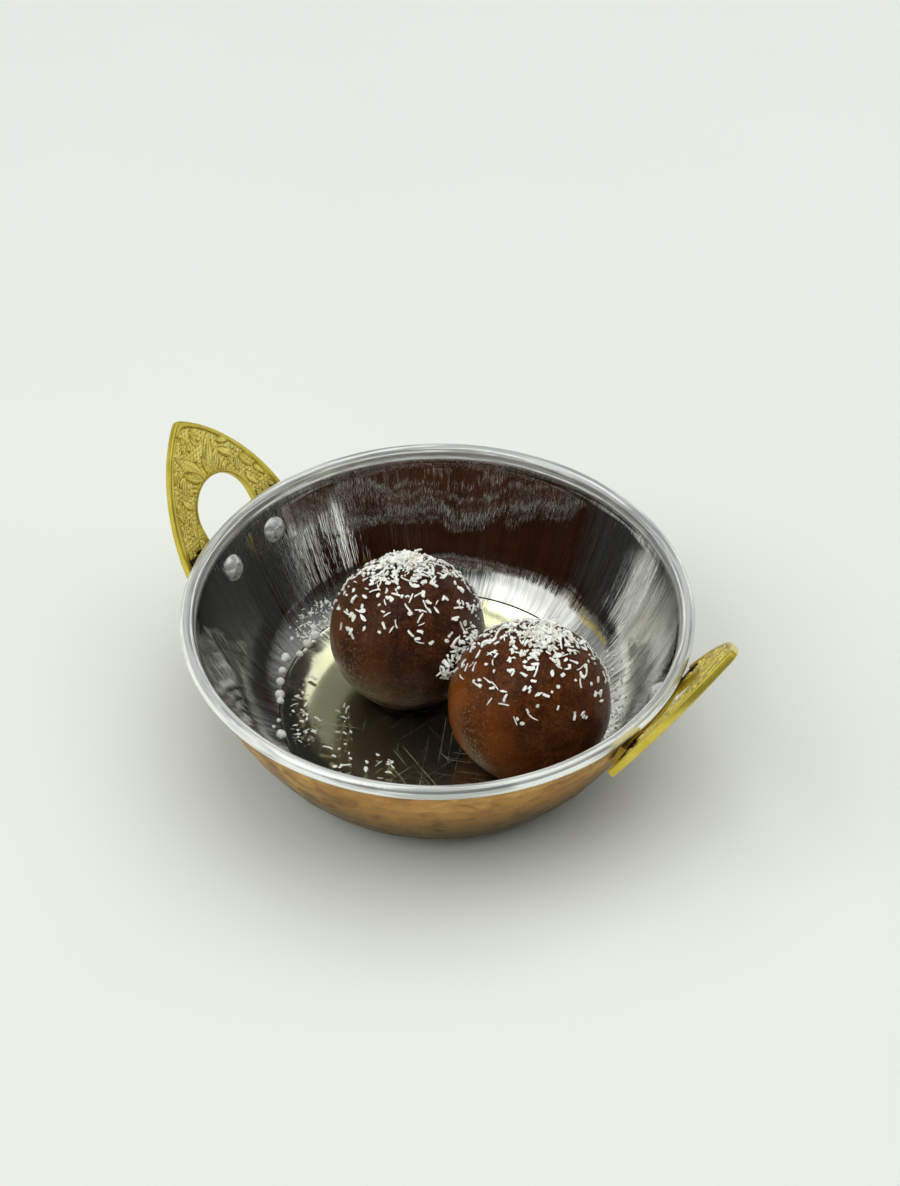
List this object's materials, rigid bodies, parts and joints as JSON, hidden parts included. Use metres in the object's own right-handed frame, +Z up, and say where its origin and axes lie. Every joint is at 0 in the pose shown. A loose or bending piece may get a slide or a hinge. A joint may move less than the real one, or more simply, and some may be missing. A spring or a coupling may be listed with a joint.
{
  "type": "gulab jamun dish",
  "caption": "Fried milk dough balls in thin syrup, topped with coconut, in a small steel and copper kadai with arched cast brass handles",
  "frame": {"origin": "centre of the bowl's base, on the surface it stands on", "axes": "+Z up, +X through the right handle, -X through the left handle, +Y towards the back of the bowl"},
  "size_m": [0.1642, 0.13, 0.0648],
  "materials": {
    "steel": "polished stainless steel with fine round scratches",
    "copper": "hammered copper, darkened towards the base",
    "brass": "cast brass with dark patina in the relief",
    "rivet_metal": "dull hammered rivet heads",
    "fried_dough": "fried dough crust soaked and glazed with syrup",
    "syrup": "thin clear sugar syrup, faintly olive yellow"
  },
  "bodies": {
    "root": {"steel_liner": "steel", "copper_shell": "copper", "handle_left": "brass", "handle_right": "brass", "rivet_left_front": "rivet_metal", "rivet_left_back": "rivet_metal", "rivet_right_front": "rivet_metal", "rivet_right_back": "rivet_metal", "gulab_jamun_left": "fried_dough", "gulab_jamun_right": "fried_dough", "syrup": "syrup"}
  },
  "joints": []
}
